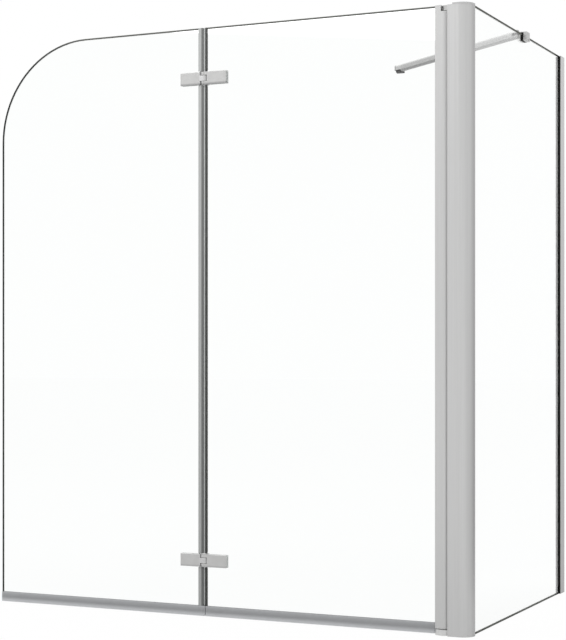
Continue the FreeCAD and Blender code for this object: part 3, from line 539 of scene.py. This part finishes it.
def outlines(mesh, across):
    # the closed outlines of the sheet's positive face, walked with the glass on the left
    weld, square = 0.00001, 0.99  # how near two corners count as one, and how squarely a face looks across
    sheet = bmesh.new()
    sheet.from_mesh(mesh)
    bmesh.ops.remove_doubles(sheet, verts=sheet.verts, dist=weld)
    bmesh.ops.recalc_face_normals(sheet, faces=sheet.faces)
    sheet.verts.index_update()
    follow = {}
    for face in sheet.faces:
        if face.normal[across] > square:
            for loop in face.loops:
                if sum(other.normal[across] > square for other in loop.edge.link_faces) == 1:
                    follow[loop.vert.index] = loop.link_loop_next.vert.index
    places = [vert.co.copy() for vert in sheet.verts]
    sheet.free()
    found = []
    while follow:
        first, after = follow.popitem()
        found.append([places[first]])
        while after != first:
            found[-1].append(places[after])
            after = follow.pop(after)
    return found


def mitres(loop, normal):
    # for each corner, the step into the glass that insets both of its sides by one
    steps = []
    for before, place, after in zip(loop[-1:] + loop[:-1], loop, loop[1:] + loop[:1]):
        first = normal.cross((place - before).normalized())
        second = normal.cross((after - place).normalized())
        steps.append((first + second) / (1.0 + first.dot(second)))
    return steps


def besideHinge(place):
    near, far = glassLook["hingeReach"]
    return any(near < abs(place.x - middle.x) < far and abs(place.z - middle.z) < glassLook["hingeRise"]
               and abs(place.y - middle.y) < far for middle in hingeMiddles)


def glassSheet(name, node, body, across, band):
    # the CAD outline with arrised edges; across is the sheet's thin axis, band the width of a painted dark strip on
    # its faces
    normal = Vector([float(axis == across) for axis in range(3)])
    low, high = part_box(node)
    middle, half = (low[across] + high[across]) / 2, (high[across] - low[across]) / 2
    arris = glassLook["arris"]
    halfProfile = [(band, half), (arris, half), (0.0, half - arris)]
    profile = halfProfile + [(inset, -height) for inset, height in reversed(halfProfile)]
    sheet = bmesh.new()
    fronts, backs = [], []
    for loop in outlines(nodes[node].data, across):
        steps = mitres(loop, normal)
        rings = []
        for inset, height in profile:
            places = [place + step * inset for place, step in zip(loop, steps)]
            for place in places:
                place[across] = middle + height
            rings.append([sheet.verts.new(place) for place in places])
        turns = [(spot, (spot + 1) % len(loop)) for spot in range(len(loop))]
        for upper, lower in zip(rings, rings[1:]):
            for here, there in turns:
                face = sheet.faces.new((upper[here], lower[here], lower[there], upper[there]))
                face.material_index = 0 if besideHinge((loop[here] + loop[there]) / 2) else 1
        for edges, ring in ((fronts, rings[0]), (backs, rings[-1])):
            edges += [sheet.edges.get((ring[here], ring[there])) for here, there in turns]
    for edges in (fronts, backs):
        bmesh.ops.triangle_fill(sheet, edges=edges, use_beauty=True, normal=normal)
    bmesh.ops.recalc_face_normals(sheet, faces=sheet.faces)
    piece = linkedObject(name, sheet, *sheetMaterials)
    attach(piece, body)
    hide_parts(node)


glassSheet("leafSheet", "leaf_glass", "swing_leaf", 1, glassLook["frontBand"])
glassSheet("middleSheet", "middle_glass", "middle_panel", 1, glassLook["frontBand"])
glassSheet("sideSheet", "side_glass", "fixed_frame", 0, glassLook["sideBand"])
print("glass sheets made")


# stage: a pale floor that takes the shadow, a white surround, soft lamps and a dark card beside the set
stageLook = {
    "floorHalf": 30.0, "floorDrop": 0.0003, "floorColour": (0.95, 0.95, 0.95), "floorGlow": 0.97, "floorShine": 0.8,
    "shineCentre": (-0.55, -1.0, 0.0), "shineReach": (0.5, 1.3), "ambient": 0.8,
}


def stageSheet(name, corners):
    mesh = bpy.data.meshes.new(name)
    mesh.from_pydata(corners, [], [(0, 1, 2, 3)])
    made = bpy.data.objects.new(name, mesh)
    scene.collection.objects.link(made)
    return made


def makeFloor(look):
    half, drop = look["floorHalf"], look["floorDrop"]
    corners = [(x, y, -drop) for x, y in ((-half, -half), (half, -half), (half, half), (-half, half))]
    floor = stageSheet("floor", corners)
    colour = (*look["floorColour"], 1.0)
    material, tree, shader = newMaterial("paleFloor", Base_Color=colour, Roughness=1.0)
    glow = addNode(tree, "ShaderNodeEmission")
    # a refracted ray is also a glossy one, so only what is reflected sees the dimmer floor
    glossy, refracted = seenBy(tree, "Is Glossy Ray"), seenBy(tree, "Is Transmission Ray")
    reflected = mathNode(tree, "SUBTRACT", glossy, refracted, clamp=True)
    span = addNode(tree, "ShaderNodeVectorMath", operation="DISTANCE")
    span.inputs[1].default_value = look["shineCentre"]
    tree.links.new(objectPlace(tree), span.inputs[0])
    lost = mapRange(tree, span.outputs["Value"], *look["shineReach"], 1.0 - look["floorShine"], 0.0)
    shine = mathNode(tree, "SUBTRACT", 1.0, mathNode(tree, "MULTIPLY", reflected, lost))
    tree.links.new(shine, glow.inputs["Strength"])
    seen = seenBy(tree, "Is Camera Ray", "Is Transmission Ray", "Is Glossy Ray")
    mixShaders(tree, mathNode(tree, "MULTIPLY", seen, look["floorGlow"]), shader, glow)
    floor.data.materials.append(material)


def makeWorld(look):
    world = bpy.data.worlds.new("whiteSurround")
    scene.world = world
    world.use_nodes = True
    tree = world.node_tree
    background = tree.nodes["Background"]
    background.inputs["Color"].default_value = (1.0, 1.0, 1.0, 1.0)
    seen = seenBy(tree, "Is Camera Ray", "Is Glossy Ray", "Is Transmission Ray")
    strength = mapRange(tree, seen, 0.0, 1.0, look["ambient"], 1.0)
    tree.links.new(strength, background.inputs["Strength"])


def softLamp(name, place, aim, size, power):
    lamp = bpy.data.lights.new(name, "AREA")
    lamp.shape = "SQUARE"
    lamp.size = size
    lamp.energy = power
    holder = bpy.data.objects.new(name, lamp)
    holder.location = place
    holder.rotation_euler = (Vector(aim) - Vector(place)).to_track_quat("-Z", "Y").to_euler()
    scene.collection.objects.link(holder)


def sideCard(look):
    # an upright card that only reflections show, dimmer towards the wall and the floor, with soft outer edges
    (front, back), top, x = look["span"], look["top"], look["x"]
    card = stageSheet("sideCard", [(x, front, 0.0), (x, back, 0.0), (x, back, top), (x, front, top)])
    for ray in ("camera", "diffuse", "transmission", "shadow"):
        setattr(card, "visible_" + ray, False)
    material, tree = newMaterial("sideCard")[:2]
    axes = placeAxes(tree)
    deep = mapRange(tree, axes["Y"], front, look["deepest"], *look["depth"])
    low = mapRange(tree, axes["Z"], 0.0, look["lowTo"], look["low"], look["high"])
    dark = mathNode(tree, "MULTIPLY", deep, low)
    for axis, start, end in (("Y", look["deepest"], back), ("Z", look["lowTo"], top)):
        dark = mathNode(tree, "MULTIPLY", dark, mapRange(tree, axes[axis], start, end, 1.0, 0.0))
    glow = addNode(tree, "ShaderNodeEmission")
    tree.links.new(mathNode(tree, "SUBTRACT", 1.0, dark), glow.inputs["Strength"])
    tree.links.new(glow.outputs[0], tree.nodes["Material Output"].inputs["Surface"])
    card.data.materials.append(material)


makeFloor(stageLook)
makeWorld(stageLook)
cardLook = {
    "x": 0.5, "span": (-1.6, 0.56), "deepest": 0.36, "depth": (-0.05, 0.63),
    "top": 2.4, "lowTo": 1.6, "low": 1.0, "high": 0.28,
}
sideCard(cardLook)
lampLooks = [
    {"name": "keyLamp", "place": (-2.6, -3.0, 3.6), "aim": (-0.5, -0.6, 0.8), "size": 3.0, "power": 50.0},
    {"name": "fillLamp", "place": (-2.4, 2.4, 3.4), "aim": (-0.5, -0.5, 0.8), "size": 3.0, "power": 20.0},
]
for lampLook in lampLooks:
    softLamp(**lampLook)
print("stage made")

# camera at the photograph's place: level, turned left, 566 by 640 pixels
photo = {"width": 566, "height": 640, "focal": 1657.07, "horizon": 352.81}
cameraLook = {"place": (1.12477, -4.08904, 0.60292), "turn": 24.931, "sensor": 36.0}
camera = bpy.data.cameras.new("camera")
camera.sensor_width = cameraLook["sensor"]
camera.lens = cameraLook["sensor"] * photo["focal"] / photo["height"]
camera.shift_y = (photo["horizon"] - photo["height"] / 2) / photo["height"]
cameraHolder = bpy.data.objects.new("camera", camera)
cameraHolder.location = cameraLook["place"]
cameraHolder.rotation_euler = (math.radians(90.0), 0.0, math.radians(cameraLook["turn"]))
scene.collection.objects.link(cameraHolder)
scene.camera = cameraHolder
print("camera set")
